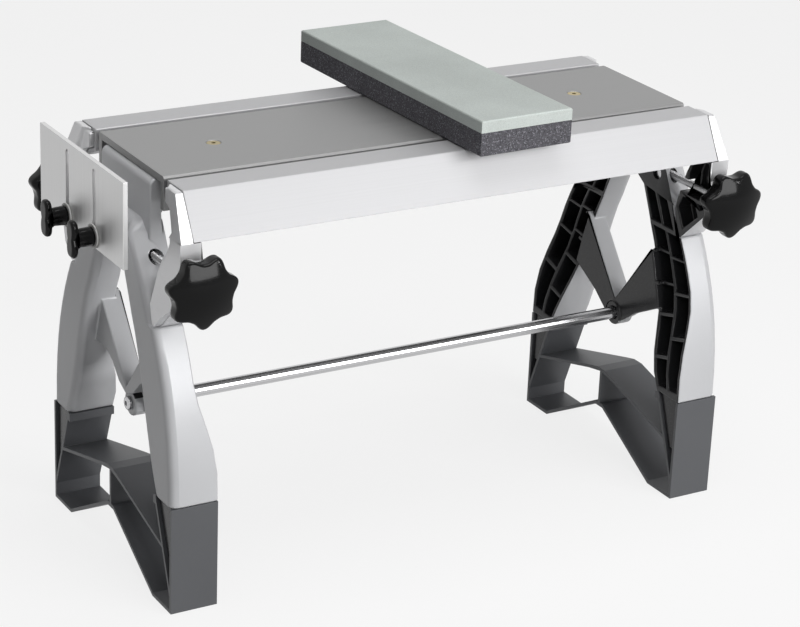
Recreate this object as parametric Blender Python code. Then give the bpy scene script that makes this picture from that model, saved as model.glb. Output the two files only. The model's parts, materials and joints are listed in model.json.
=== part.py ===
# Sharpening table for speed skates, with a combination whetstone lying across it.
# Two hinged jaw rails clamp the skates' blades against the edges of a flat top plate. Two ribbed
# A-shaped end frames carry the plate and stand in extruded feet. Metres, +Z up, X along the table,
# near is -Y, far is +Y, left is -X and right is +X. The origin lies on the floor under the middle
# of the whole object.
import math

import bmesh
import bpy
from mathutils import Matrix, Vector

# Clearances
GAP = 0.0003
SEAT_GAP = 0.0005
THREAD_GAP = 0.0003

# Table top: a channel whose edges are the fixed jaws
TABLE_LENGTH = 0.420
TOP_HEIGHT = 0.298
PLATE_WIDTH = 0.106
PLATE_THICKNESS = 0.005
PLATE_FLANGE_DEPTH = 0.024
PLATE_FLANGE_WALL = 0.005
PLATE_EDGE_ROUND = 0.0012
PLATE_SCREW_INSET = 0.062
PLATE_SCREW_RADIUS = 0.0025
PLATE_SCREW_LENGTH = 0.016
SCREW_HEAD_RADIUS = 0.005
SCREW_HEAD_DEPTH = 0.0028
SCREW_HEAD_SINK = 0.0004

# Jaw rails: hollow sections with a flat top and a sloping outer face
BLADE_SLOT = 0.0055
RAIL_STEP = 0.0003
RAIL_TOP_WIDTH = 0.0238
RAIL_DROP = 0.0307
RAIL_FLARE = 0.0171
RAIL_RETURN = 0.006
RAIL_JAW_HEIGHT = 0.016
RAIL_WALL = 0.003

# Clamp arms at the rail ends, which rock on the shoulders of the legs
ARM_OVERHANG = 0.0095
ARM_THICKNESS = 0.0157
ARM_CAP_DRAFT = 0.004
ARM_CAP_INSET = 0.0045
ARM_BEVEL_WIDTH = 0.007
ARM_BEVEL_DEPTH = 0.0035
ARM_WALL = 0.003
ARM_SEAT_REACH = 0.0046
ARM_SEAT_HEIGHT = 0.0165
ARM_FACET_HEIGHT = 0.0155
ARM_LIMB_WIDTH = 0.0234
ARM_LIMB_SLANT = 0.005
ARM_LIMB_RISE = 0.009
ARM_HEEL_REACH = 0.008
ARM_HEEL_HEIGHT = 0.0195
ARM_WAIST_REACH = 0.004
ARM_WAIST_DROP = 0.003
ARM_FLARE_INSET = 0.0015
ARM_FLARE_HEIGHT = 0.048
ARM_FLARE_SAG = 0.001
ARM_FLARE_REACH = 0.034
ARM_FLARE_MIDDLE_SHARE = 0.7
ARM_FLARE_END_SHARE = 0.28
ARM_RIB_TOP = 0.0140
ARM_RIB_SLANT = 0.0055
ARM_RIB_LOW = 0.0190
ARM_TENON_LENGTH = 0.022
TOE_RADIUS = 0.0032
TOE_INSET = 0.0028
JAW_OPEN_DEG = 4.0
JAW_SHUT_DEG = 2.5

# Clamp spindles, star knobs and the barrel nuts in the necks
SPINDLE_DROP = 0.0585
SPINDLE_RADIUS = 0.003
SPINDLE_CHAMFER = 0.0008
SPINDLE_NECK_BORE = 0.005
NUT_RADIUS = 0.005
NUT_LENGTH = 0.012
NUT_DEPTH = 0.0140
SPINDLE_PAST_NUT = 0.003
KNOB_RADIUS = 0.0255
KNOB_LOBE_DEPTH = 0.0045
KNOB_LOBE_SHARPNESS = 1.5
KNOB_LOBES = 7
KNOB_THICKNESS = 0.0165
KNOB_BOSS_RADIUS = 0.011
KNOB_BOSS_LENGTH = 0.0045
KNOB_NOSE_RADIUS = 0.0065
KNOB_EDGE = 0.004
KNOB_SHOULDER = 0.005
KNOB_DISH = 0.0006
KNOB_INSERT_DEPTH = 0.011

# End frames: curved legs, neck, head, V brace
FRAME_OVERHANG = 0.016
LEG_DEPTH_BOTTOM = 0.035
LEG_DEPTH_TOP = 0.0225
LEG_TAPER_START = 0.10
LEG_TAPER_STOP = 0.62
LEG_CORNER = 0.006
LEG_WALL = 0.0032
LEG_BACK_WALL = 0.0045
LEG_RIB = 0.0028
LEG_INNER_RIBS = (0.03, 0.22, 0.46, 0.64, 0.84, 1.0)
LEG_OUTER_RIBS = (0.03, 0.33, 0.59, 0.82, 1.0)
LEG_WIDTH_BOTTOM = 0.0278
LEG_OUTER_FOOT_RISE = 0.056
LEG_OUTER_TOP_SPREAD = 0.0175
LEG_OUTER_TOP_FALL = 0.031
LEG_INNER_FOOT_SPREAD = 0.0175
LEG_INNER_FOOT_RISE = 0.033
LEG_INNER_TOP_SPREAD = 0.019
LEG_INNER_TOP_FALL = 0.034
SHOULDER_DROP = 0.099
SHOULDER_HALF_WIDTH = 0.0715
SHOULDER_LEDGE = 0.0055
LEG_INNER_TOP = 0.0312
NECK_HALF_WIDTH = 0.037
NECK_TAPER_POWER = 1.25
NECK_DRAFT = 0.0095
NECK_DRAFT_POWER = 0.6
NECK_DROP = 0.036
NECK_TOP_ROUND = 0.009
CROTCH_DROP = 0.060
THROAT_HALF_WIDTH = 0.020
THROAT_FALL = 0.012
NECK_LAP = 0.008
NECK_BEND = 0.36
NECK_CLOSE = 0.62
NECK_ROUND_START = 0.86
NECK_POCKET_START = 0.05
LEDGE_FALL = 0.0001
INNER_LEDGE_FALL = 0.0006
HEAD_HALF_WIDTH = 0.040
HEAD_OVERHANG = 0.004
HEAD_WALL = 0.009
HEAD_LIP = 0.005
HEAD_TAIL = 0.012
HEAD_GUSSET = 0.018
SHELF_LENGTH = 0.080
SHELF_THICKNESS = 0.006
BRACE_THICKNESS = 0.015
BRACE_INSET = 0.012
BRACE_RISE = 0.0125
BRACE_ROOT = 0.008
BRACE_TOP_SHARE = 0.87
BRACE_WEB_SHARE = 0.50
BRACE_WEB = 0.0045
BRACE_WEB_BEND = 0.0278
BRACE_WEB_BEND_RISE = 0.0090
BRACE_WEB_HIP = 0.0147
BRACE_WEB_HIP_FALL = 0.0007
BRACE_WEB_FOOT = 0.0038
BRACE_WEB_FOOT_FALL = 0.0076
BRACE_BAR_SHARE = 0.53
BRACE_BAR_FLARE = 0.0324
BRACE_BAR_FLARE_RISE = 0.0278
BRACE_BAR_BEND = 0.0237
BRACE_BAR_BEND_RISE = 0.0236
BRACE_BAR_HIP = 0.0123
BRACE_BAR_HIP_RISE = 0.0125
BRACE_BAR_CLEAR = 0.002
BOSS_RADIUS = 0.0095
BOSS_LENGTH = 0.0125
BOSS_STEP = 0.001

# Stretcher rod between the frames
ROD_HEIGHT = 0.1145
ROD_RADIUS = 0.0048
ROD_SOCKET = 0.007
ROD_SCREW_RADIUS = 0.0026
ROD_SCREW_HEAD_RADIUS = 0.005
ROD_SCREW_HEAD = 0.003
ROD_SCREW_RIM = 0.0018
ROD_SCREW_FACE_RADIUS = 0.0036
ROD_SCREW_GRIP = 0.010

# Feet: hollow profiles of one section, cut to the depth of the legs
FOOT_HALF_WIDTH = 0.1013
FOOT_HEIGHT = 0.0787
FOOT_WALL = 0.0026
FOOT_FLANGE = 0.030
FOOT_LOWER_APEX = 0.0365
FOOT_UPPER_APEX = 0.0683
FOOT_APEX_FLAT = 0.005
FOOT_APEX_BEND = 0.017
FOOT_APEX_FALL = 0.003
FOOT_CELL_FALL = 0.0065
FOOT_SHEET_JOIN = 0.0470
FOOT_LIP = 0.0014
FOOT_LIP_HEIGHT = 0.006
POCKET_DEPTH = 0.060
TONGUE_LENGTH = 0.040
TONGUE_INSET = 0.002

# End stop at the left end
STOP_STANDOFF = 0.0165
STOP_THICKNESS = 0.0035
STOP_WIDTH = 0.1396
STOP_HEIGHT = 0.0604
STOP_ABOVE_TOP = 0.0061
STOP_SCREW_SPACING = 0.045
STOP_SCREW_DROP = 0.046
STOP_SLOT_WIDTH = 0.0056
STOP_SLOT_LENGTH = 0.050
STANDOFF_RADIUS = 0.0065
STUD_RADIUS = 0.0023
STUD_GRIP = 0.010
STUD_INSERT = 0.007
WASHER_RADIUS = 0.0085
WASHER_THICKNESS = 0.0012
THUMB_HUB_RADIUS = 0.0068
THUMB_HUB_TAPER = 0.0004
THUMB_HUB_LENGTH = 0.0112
THUMB_WING_LENGTH = 0.026
THUMB_WING_WIDTH = 0.0135
THUMB_WING_POWER = 0.8
THUMB_WING_THICKNESS = 0.0048
THUMB_WING_EDGE = 0.0013

# Whetstone: a fine layer bonded on a coarse layer
STONE_LENGTH = 0.250
STONE_WIDTH = 0.075
STONE_COARSE = 0.0165
STONE_FINE = 0.0085
STONE_PLACE = (0.038, 0.024)
STONE_TURN_DEG = 1.66
STONE_EDGE = 0.0008

# Facets of round pieces
ROUND_SIDES = 24
SMALL_SIDES = 16
LOBE_POINTS = 6
KNOB_ROLL_STEPS = 2
LEG_STATIONS = 9
CORNER_STEPS = 3
LIP_STEPS = 3
SLOT_END_STEPS = 6
TOE_ANGLES_DEG = (-45, -75, -105, -135, -165)
SMOOTH_ANGLE = math.radians(38)
BENT_FACE = math.radians(0.2)
WELD = 0.000002

# Places that follow from the sizes
HALF_LENGTH = TABLE_LENGTH / 2
FRAME_X = HALF_LENGTH + FRAME_OVERHANG
FOOT_LOW_X = FRAME_X - LEG_DEPTH_BOTTOM
NECK_X = FRAME_X - LEG_DEPTH_TOP
RAIL_INNER_Y = PLATE_WIDTH / 2 + BLADE_SLOT
RAIL_TOP_Y = RAIL_INNER_Y + RAIL_TOP_WIDTH
RAIL_LOW_Y = RAIL_TOP_Y + RAIL_FLARE
RAIL_TOP_Z = TOP_HEIGHT - RAIL_STEP
RAIL_LOW_Z = TOP_HEIGHT - RAIL_DROP
SHOULDER_Z = TOP_HEIGHT - SHOULDER_DROP
NECK_Z = TOP_HEIGHT - NECK_DROP
SPINDLE_Z = TOP_HEIGHT - SPINDLE_DROP
SPINDLE_X = HALF_LENGTH + ARM_OVERHANG - ARM_THICKNESS / 2
HINGE_Y = SHOULDER_HALF_WIDTH - TOE_INSET
HINGE_Z = SHOULDER_Z + GAP + TOE_RADIUS
SEAT_Y = RAIL_LOW_Y + ARM_SEAT_REACH
LEG_FOOT_Z = FOOT_HEIGHT + GAP
STOP_BACK_X = FRAME_X + STOP_STANDOFF + 2 * GAP
STOP_FACE_X = STOP_BACK_X + STOP_THICKNESS
STOP_SCREW_Z = TOP_HEIGHT - STOP_SCREW_DROP
HUB_BASE_X = STOP_FACE_X + WASHER_THICKNESS + 2 * GAP
THUMB_FRONT_X = HUB_BASE_X + THUMB_HUB_LENGTH + THUMB_WING_THICKNESS
KNOB_BACK_Y = SEAT_Y + SEAT_GAP
KNOB_FRONT_Y = KNOB_BACK_Y + KNOB_BOSS_LENGTH + KNOB_THICKNESS
STONE_TURN = math.radians(STONE_TURN_DEG)
STONE_REACH_Y = (STONE_LENGTH * math.cos(STONE_TURN) + STONE_WIDTH * math.sin(STONE_TURN)) / 2
FAR_REACH = max(KNOB_FRONT_Y, STONE_PLACE[1] + STONE_REACH_Y)
NEAR_REACH = max(KNOB_FRONT_Y, STONE_REACH_Y - STONE_PLACE[1])
KNOB_REACH_X = KNOB_RADIUS * math.cos(math.pi / (2 * KNOB_LOBES))
RIGHT_REACH = max(FRAME_X, SPINDLE_X + KNOB_REACH_X)
CENTRE = Vector(((THUMB_FRONT_X - RIGHT_REACH) / 2, (NEAR_REACH - FAR_REACH) / 2, 0))

SIDES = (("near", -1), ("far", 1))
ENDS = (("left", -1), ("right", 1))


def clear_scene():
    for old in list(bpy.data.objects):
        bpy.data.objects.remove(old, do_unlink=True)


def material(name, colour, roughness, metallic=0.0):
    made = bpy.data.materials.new(name)
    made.use_nodes = True
    shader = made.node_tree.nodes["Principled BSDF"]
    shader.inputs["Base Color"].default_value = (*colour, 1.0)
    shader.inputs["Roughness"].default_value = roughness
    shader.inputs["Metallic"].default_value = metallic
    made.diffuse_color = (*colour, 1.0)
    return made


# Mesh building

def finished(bm):
    # Welds the mesh, points its faces outward and hands it over
    bmesh.ops.remove_doubles(bm, verts=bm.verts, dist=WELD)
    bmesh.ops.recalc_face_normals(bm, faces=bm.faces)
    mesh = bpy.data.meshes.new("shape")
    bm.to_mesh(mesh)
    bm.free()
    return mesh


def loft(rings):
    # A closed skin through rings of equally many points, capped at both ends
    bm = bmesh.new()
    loops = [[bm.verts.new(point) for point in ring] for ring in rings]
    count = len(loops[0])
    for low, high in zip(loops, loops[1:]):
        for i in range(count):
            j = (i + 1) % count
            bm.faces.new((low[i], low[j], high[j], high[i]))
    bm.normal_update()
    bmesh.ops.connect_verts_nonplanar(bm, angle_limit=BENT_FACE, faces=bm.faces)
    bm.faces.new(loops[0])
    bm.faces.new(loops[-1])
    return finished(bm)


def prism_x(outline, low, high):
    return loft([[(x, y, z) for y, z in outline] for x in (low, high)])


def prism_y(outline, low, high):
    return loft([[(x, y, z) for x, z in outline] for y in (low, high)])


def turned(profile, axis, centre, sides=ROUND_SIDES):
    # A solid of revolution: profile holds (place along the axis, radius) pairs
    rings = []
    for along, radius in profile:
        ring = []
        for i in range(sides):
            angle = math.tau * (i + 0.5) / sides
            a = radius * math.cos(angle)
            b = radius * math.sin(angle)
            spoke = {"x": (along, a, b), "y": (a, along, b), "z": (a, b, along)}[axis]
            ring.append(Vector(spoke) + Vector(centre))
        rings.append(ring)
    return loft(rings)


def bezier(points, t):
    a, b, c, d = (Vector(point) for point in points)
    s = 1 - t
    return a * s**3 + b * (3 * s * s * t) + c * (3 * s * t * t) + d * t**3


def joined(meshes):
    bm = bmesh.new()
    for mesh in meshes:
        bm.from_mesh(mesh)
    mesh = bpy.data.meshes.new("joined")
    bm.to_mesh(mesh)
    bm.free()
    return mesh


def boolean(mesh, other, operation):
    body = bpy.data.objects.new("body", mesh)
    tool = bpy.data.objects.new("tool", other)
    for item in (body, tool):
        bpy.context.collection.objects.link(item)
    modifier = body.modifiers.new("boolean", "BOOLEAN")
    modifier.operation = operation
    modifier.solver = "EXACT"
    modifier.object = tool
    depsgraph = bpy.context.evaluated_depsgraph_get()
    bm = bmesh.new()
    bm.from_object(body, depsgraph)
    for item in (body, tool):
        bpy.data.objects.remove(item, do_unlink=True)
    return finished(bm)


def united(mesh, *others):
    for other in others:
        mesh = boolean(mesh, other, "UNION")
    return mesh


def cut(mesh, *cutters):
    return boolean(mesh, joined(cutters), "DIFFERENCE")


def mirrored(mesh, side_x, side_y):
    copy = mesh.copy()
    copy.transform(Matrix.Diagonal((side_x, side_y, 1, 1)))
    if side_x * side_y < 0:
        copy.flip_normals()
    return copy


def place(name, mesh, look, origin=(0, 0, 0), parent=None):
    # Puts a mesh that is drawn in the table's frame into a node whose origin is at the given point
    origin = Vector(origin)
    mesh.transform(Matrix.Translation(-origin))
    mesh.name = name
    mesh.materials.clear()
    mesh.materials.append(look)
    mesh.shade_smooth()
    mesh.set_sharp_from_angle(angle=SMOOTH_ANGLE)
    node = bpy.data.objects.new(name, mesh)
    bpy.context.collection.objects.link(node)
    node.parent = parent
    node.location = origin - (Vector(parent["place"]) if parent else Vector())
    return node


def empty(name, place_in_table, parent=None):
    guide = bpy.data.objects.new(name, None)
    bpy.context.collection.objects.link(guide)
    guide["place"] = Vector(place_in_table)
    guide.parent = parent
    guide.location = Vector(place_in_table) - (Vector(parent["place"]) if parent else Vector())
    return guide


# Table top

def plate_mesh():
    half = PLATE_WIDTH / 2
    inner = half - PLATE_FLANGE_WALL
    under = TOP_HEIGHT - PLATE_THICKNESS
    low = TOP_HEIGHT - PLATE_FLANGE_DEPTH
    right = [(half - PLATE_EDGE_ROUND, TOP_HEIGHT), (half, TOP_HEIGHT - PLATE_EDGE_ROUND),
             (half, low), (inner, low), (inner, under)]
    outline = right + [(-y, z) for y, z in reversed(right)]
    plate = prism_x(outline, -HALF_LENGTH, HALF_LENGTH)
    head_seat = TOP_HEIGHT - SCREW_HEAD_SINK - SCREW_HEAD_DEPTH
    slope = SCREW_HEAD_RADIUS - PLATE_SCREW_RADIUS
    mouth = SCREW_HEAD_RADIUS + GAP + slope * SCREW_HEAD_SINK / SCREW_HEAD_DEPTH
    holes = []
    for _, end in ENDS:
        profile = [(under - GAP, PLATE_SCREW_RADIUS + GAP), (head_seat, PLATE_SCREW_RADIUS + GAP),
                   (TOP_HEIGHT - SCREW_HEAD_SINK, SCREW_HEAD_RADIUS + GAP), (TOP_HEIGHT + GAP, mouth + GAP)]
        holes.append(turned(profile, "z", (end * (HALF_LENGTH - PLATE_SCREW_INSET), 0, 0)))
    return cut(plate, *holes)


def plate_screw_mesh(end):
    top = TOP_HEIGHT - SCREW_HEAD_SINK
    profile = [(top - PLATE_SCREW_LENGTH, PLATE_SCREW_RADIUS), (top - SCREW_HEAD_DEPTH, PLATE_SCREW_RADIUS),
               (top, SCREW_HEAD_RADIUS)]
    return turned(profile, "z", (end * (HALF_LENGTH - PLATE_SCREW_INSET), 0, 0))


# Jaw rails and arms, drawn for the far right corner

def rail_outline():
    return [(RAIL_INNER_Y, RAIL_TOP_Z), (RAIL_TOP_Y, RAIL_TOP_Z), (RAIL_LOW_Y, RAIL_LOW_Z),
            (RAIL_LOW_Y - RAIL_RETURN, RAIL_LOW_Z), (RAIL_INNER_Y, RAIL_TOP_Z - RAIL_JAW_HEIGHT)]


def inset(outline, amount):
    # The outline moved inward by a set amount, for a convex outline drawn clockwise in y and z
    moved = []
    count = len(outline)
    for i in range(count):
        before, here, after = (Vector(outline[(i + k) % count]) for k in (-1, 0, 1))
        first = (here - before).normalized()
        second = (after - here).normalized()
        inward_first = Vector((first.y, -first.x))
        inward_second = Vector((second.y, -second.x))
        corner = (inward_first + inward_second).normalized()
        moved.append(here + corner * (amount / corner.dot(inward_first)))
    return [tuple(point) for point in moved]


def rail_hollow(amount):
    # The rail's inside, a set amount from its faces: outer and sloping inner face meet in one corner
    top_in, top_out, low_out, low_in, jaw_low = (Vector(point) for point in rail_outline())
    outer = low_out - top_out
    sloping = low_in - jaw_low
    reach = (jaw_low - top_out).cross(sloping) / outer.cross(sloping)
    corner = top_out + outer * reach
    return inset([top_in, top_out, corner, jaw_low], amount)


def rail_mesh():
    body = prism_x(rail_outline(), -HALF_LENGTH, HALF_LENGTH)
    hollow = prism_x(rail_hollow(RAIL_WALL), -HALF_LENGTH - GAP, HALF_LENGTH + GAP)
    return cut(body, hollow)


def toe_arc(radius=TOE_RADIUS):
    angles = (math.radians(degrees) for degrees in TOE_ANGLES_DEG)
    return [(HINGE_Y + radius * math.cos(a), HINGE_Z + radius * math.sin(a)) for a in angles]


def arm_inner_edge():
    # From the toe up to the rail: heel, waist under the spindle, slanting limb
    limb = RAIL_LOW_Y - ARM_LIMB_WIDTH
    facet_low = RAIL_LOW_Z - ARM_FACET_HEIGHT
    return [(HINGE_Y - ARM_HEEL_REACH, HINGE_Z + ARM_HEEL_HEIGHT),
            (HINGE_Y - ARM_WAIST_REACH, SPINDLE_Z - ARM_WAIST_DROP),
            (limb - ARM_LIMB_SLANT, facet_low), (limb, facet_low + ARM_LIMB_RISE), (limb, RAIL_LOW_Z - GAP)]


def arm_body(inner_x, outer_x):
    # Lever from the toe to the rail, with a bevel along the limb on the outer side
    seat_half = ARM_SEAT_HEIGHT / 2
    outside = [(RAIL_LOW_Y, RAIL_LOW_Z - GAP), (RAIL_LOW_Y, RAIL_LOW_Z - ARM_FACET_HEIGHT),
               (SEAT_Y, SPINDLE_Z + seat_half), (SEAT_Y, SPINDLE_Z - seat_half)] + toe_arc()
    inside = arm_inner_edge()
    bevels = (0, ARM_BEVEL_WIDTH / 2, ARM_BEVEL_WIDTH, ARM_BEVEL_WIDTH, ARM_BEVEL_WIDTH)
    bevelled = [(y + bevel, z) for (y, z), bevel in zip(inside, bevels)]
    rings = [[(x, y, z) for y, z in outside + edge]
             for x, edge in ((inner_x, inside), (outer_x - ARM_BEVEL_DEPTH, inside), (outer_x, bevelled))]
    return loft(rings)


def arm_cap(cap_x, outer_x):
    # End cap of the rail: the rail's outline, drafted towards the top and bevelled at the slot
    low = RAIL_LOW_Z - GAP - 2 * ARM_WALL
    top = RAIL_TOP_Z - GAP
    limb = RAIL_LOW_Y - ARM_LIMB_WIDTH
    inner = RAIL_INNER_Y + ARM_CAP_INSET
    outside = [(RAIL_TOP_Y, top), (RAIL_LOW_Y, RAIL_LOW_Z), (RAIL_LOW_Y, low)]
    inside = [(limb, low), (limb, RAIL_LOW_Z + ARM_WALL),
              (limb - ARM_LIMB_SLANT, top - RAIL_JAW_HEIGHT), (inner, top)]
    rings = [[(cap_x, y, z) for y, z in outside + inside]]
    bevelled = [(y + ARM_BEVEL_WIDTH, z) for y, z in inside]
    rings.append([(outer_x - ARM_CAP_DRAFT * (z - low) / (top - low), y, z) for y, z in outside + bevelled])
    return loft(rings)


def arm_flare(outer_x):
    # The toe spreads to nearly the full depth of the leg under it
    heel_y, heel_z = arm_inner_edge()[0]
    toe = toe_arc(TOE_RADIUS - ARM_FLARE_INSET / 2)
    toe_y, toe_z = toe[0]
    slope = (SPINDLE_Z - ARM_SEAT_HEIGHT / 2 - toe_z) / (SEAT_Y - toe_y)
    stations = ((outer_x - ARM_WALL, 1), (outer_x + ARM_FLARE_SAG, ARM_FLARE_MIDDLE_SHARE),
                (FRAME_X - ARM_FLARE_INSET, ARM_FLARE_END_SHARE))
    rings = []
    for x, share in stations:
        rise = ARM_FLARE_HEIGHT * share
        away = abs(HINGE_Z + rise - heel_z) / ARM_HEEL_HEIGHT
        inner_y = heel_y + (HINGE_Y - TOE_RADIUS - heel_y) * away + ARM_FLARE_INSET / 2
        reach = ARM_FLARE_REACH * min(share, ARM_FLARE_MIDDLE_SHARE)
        outer = (toe_y + reach, toe_z + reach * slope + ARM_FLARE_INSET / 2)
        rings.append([(x, y, z) for y, z in toe + [(inner_y, HINGE_Z + rise), outer]])
    return loft(rings)


def arm_mesh():
    outer_x = HALF_LENGTH + ARM_OVERHANG
    inner_x = outer_x - ARM_THICKNESS
    cap_x = HALF_LENGTH + GAP
    tenon = prism_x(rail_hollow(RAIL_WALL + GAP), HALF_LENGTH - ARM_TENON_LENGTH, cap_x + ARM_WALL)
    arm = united(arm_body(inner_x, outer_x), arm_cap(cap_x, outer_x), arm_flare(outer_x), tenon)
    lever_y = SEAT_Y - HINGE_Y
    slot_high = SPINDLE_Z + SPINDLE_RADIUS + math.radians(JAW_OPEN_DEG) * lever_y + SEAT_GAP
    slot_low = SPINDLE_Z - SPINDLE_RADIUS - math.radians(JAW_SHUT_DEG) * lever_y - SEAT_GAP
    arm = cut(arm, *spindle_openings(inner_x - GAP, slot_low, slot_high))
    return cut(arm, *arm_cavities(inner_x - GAP, outer_x, slot_low - GAP))


def arm_room_inner_y():
    return RAIL_LOW_Y - ARM_LIMB_WIDTH + ARM_WALL - ARM_LIMB_SLANT


def spindle_openings(low_x, low_z, high_z):
    # A slot in the seat for the rocking spindle, and a mouth in the limb that is open to the inner side
    half = SPINDLE_RADIUS + SEAT_GAP
    room_middle = (arm_room_inner_y() + SEAT_Y - ARM_WALL) / 2

    def opening(start_x, low_y, high_y):
        stop_x = SPINDLE_X + half
        outline = [(start_x, low_z), (stop_x, low_z), (stop_x, high_z), (start_x, high_z)]
        return prism_y(outline, low_y, high_y)

    return [opening(SPINDLE_X - half, room_middle + GAP, SEAT_Y + SEAT_GAP),
            opening(low_x, RAIL_INNER_Y - ARM_WALL, room_middle - GAP)]


def arm_cavities(low_x, outer_x, roof_z):
    # The arm is a shell that is open to the inner side: room around the spindle, a pocket, a window
    back_x = outer_x - ARM_BEVEL_DEPTH
    inner_y = arm_room_inner_y()
    limb = inner_y + ARM_LIMB_SLANT
    facet_low = RAIL_LOW_Z - ARM_FACET_HEIGHT
    seat = SEAT_Y - ARM_WALL
    facet = RAIL_LOW_Y - ARM_WALL
    room = [(limb, RAIL_LOW_Z - ARM_WALL), (facet, RAIL_LOW_Z - ARM_WALL), (facet, facet_low),
            (seat, SPINDLE_Z + ARM_SEAT_HEIGHT / 2), (seat, roof_z), (inner_y, roof_z), (inner_y, facet_low)]
    roof = roof_z - ARM_WALL
    rib_top = HINGE_Y + ARM_RIB_TOP
    rib_low = rib_top + ARM_RIB_SLANT
    low_z = HINGE_Z + ARM_RIB_LOW
    pocket_shape = [(HINGE_Y - ARM_HEEL_REACH + ARM_WALL, HINGE_Z + ARM_HEEL_HEIGHT), (HINGE_Y, roof),
                    (rib_top, roof), (rib_low, low_z),
                    (HINGE_Y + ARM_WALL, HINGE_Z + TOE_RADIUS + ARM_WALL / 2)]
    window = [(rib_top + ARM_WALL, roof), (SEAT_Y - 2 * ARM_WALL, roof),
              (rib_low + ARM_WALL, low_z + 2 * ARM_WALL)]
    return [prism_x(room, low_x, back_x), prism_x(pocket_shape, low_x, back_x),
            prism_x(window, low_x, FRAME_X)]


# Spindles, nuts and star knobs, drawn for the far right corner

def neck_half_width(z):
    # Outer half width of the neck, which narrows from the shoulder to its top
    low = SHOULDER_HALF_WIDTH - SHOULDER_LEDGE
    rise = max(0, (z - SHOULDER_Z) / (NECK_Z - SHOULDER_Z))
    return low + (NECK_HALF_WIDTH - low) * rise ** NECK_TAPER_POWER


def nut_y():
    return neck_half_width(SPINDLE_Z) - NUT_DEPTH


def spindle_mesh():
    inner = nut_y() - NUT_RADIUS - SPINDLE_PAST_NUT
    outer = KNOB_BACK_Y + KNOB_INSERT_DEPTH - THREAD_GAP
    profile = [(inner, SPINDLE_RADIUS - SPINDLE_CHAMFER), (inner + SPINDLE_CHAMFER, SPINDLE_RADIUS),
               (outer, SPINDLE_RADIUS)]
    return turned(profile, "y", (SPINDLE_X, 0, SPINDLE_Z), SMALL_SIDES)


def nut_mesh():
    low = SPINDLE_X - NUT_LENGTH / 2
    barrel = [(low, NUT_RADIUS), (low + NUT_LENGTH, NUT_RADIUS)]
    nut = turned(barrel, "x", (0, nut_y(), SPINDLE_Z), SMALL_SIDES)
    reach = NUT_RADIUS + GAP
    bore = turned([(-reach, SPINDLE_RADIUS + THREAD_GAP), (reach, SPINDLE_RADIUS + THREAD_GAP)], "y",
                  (SPINDLE_X, nut_y(), SPINDLE_Z), SMALL_SIDES)
    return cut(nut, bore)


def knob_mesh():
    # Star knob: a boss behind, a lobed grip with rolled edges and a nearly flat front, one lobe down
    count = KNOB_LOBES * LOBE_POINTS
    back = KNOB_BACK_Y + KNOB_BOSS_LENGTH
    front = KNOB_FRONT_Y
    rolls = [math.pi / 2 * step / KNOB_ROLL_STEPS for step in range(KNOB_ROLL_STEPS + 1)]

    def ring(y, radius, lobe):
        points = []
        for i in range(count):
            angle = math.tau * i / count
            wave = (1 + math.cos(KNOB_LOBES * angle)) / 2
            reach = radius - lobe * (1 - wave ** KNOB_LOBE_SHARPNESS)
            points.append((SPINDLE_X + reach * math.sin(angle), y, SPINDLE_Z - reach * math.cos(angle)))
        return points

    body = [ring(KNOB_BACK_Y, KNOB_NOSE_RADIUS, 0), ring(back, KNOB_BOSS_RADIUS, 0)]
    for a in rolls:
        body.append(ring(back + KNOB_EDGE * (1 - math.cos(a)), KNOB_RADIUS - KNOB_EDGE * (1 - math.sin(a)),
                         KNOB_LOBE_DEPTH))
    for a in rolls:
        body.append(ring(front - KNOB_SHOULDER * (1 - math.sin(a)),
                         KNOB_RADIUS - KNOB_SHOULDER * (1 - math.cos(a)), KNOB_LOBE_DEPTH))
    body.append(ring(front - KNOB_DISH, KNOB_BOSS_RADIUS, 0))
    knob = loft(body)
    radius = SPINDLE_RADIUS + THREAD_GAP
    socket = turned([(KNOB_BACK_Y - GAP, radius), (KNOB_BACK_Y + KNOB_INSERT_DEPTH, radius)], "y",
                    (SPINDLE_X, 0, SPINDLE_Z), SMALL_SIDES)
    return cut(knob, socket)


# End frames, drawn for the right end

def leg_outer(t):
    return bezier(((FOOT_HALF_WIDTH, LEG_FOOT_Z), (FOOT_HALF_WIDTH, LEG_FOOT_Z + LEG_OUTER_FOOT_RISE),
                   (SHOULDER_HALF_WIDTH + LEG_OUTER_TOP_SPREAD, SHOULDER_Z - LEG_OUTER_TOP_FALL),
                   (SHOULDER_HALF_WIDTH, SHOULDER_Z)), t)


def leg_inner(t):
    foot = FOOT_HALF_WIDTH - LEG_WIDTH_BOTTOM
    return bezier(((foot, LEG_FOOT_Z), (foot - LEG_INNER_FOOT_SPREAD, LEG_FOOT_Z + LEG_INNER_FOOT_RISE),
                   (LEG_INNER_TOP + LEG_INNER_TOP_SPREAD, SHOULDER_Z - LEG_INNER_TOP_FALL),
                   (LEG_INNER_TOP, SHOULDER_Z)), t)


def leg_depth(t):
    # Deep at the foot, then an S-shaped change to the depth of the neck
    s = min(1, max(0, (t - LEG_TAPER_START) / (LEG_TAPER_STOP - LEG_TAPER_START)))
    return LEG_DEPTH_BOTTOM + (LEG_DEPTH_TOP - LEG_DEPTH_BOTTOM) * s * s * (3 - 2 * s)


def neck_outer(t):
    z = SHOULDER_Z + (NECK_Z - SHOULDER_Z) * t
    return Vector((neck_half_width(z), z))


def neck_draft(t):
    # How far the neck's outer side leans in on its way to the outer face
    return NECK_DRAFT * t ** NECK_DRAFT_POWER


def neck_side(t):
    # The neck's outer side at the outer face, where the draft leaves the least width
    outer = neck_outer(t)
    return outer - (outer - neck_inner(t)).normalized() * neck_draft(t)


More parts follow.
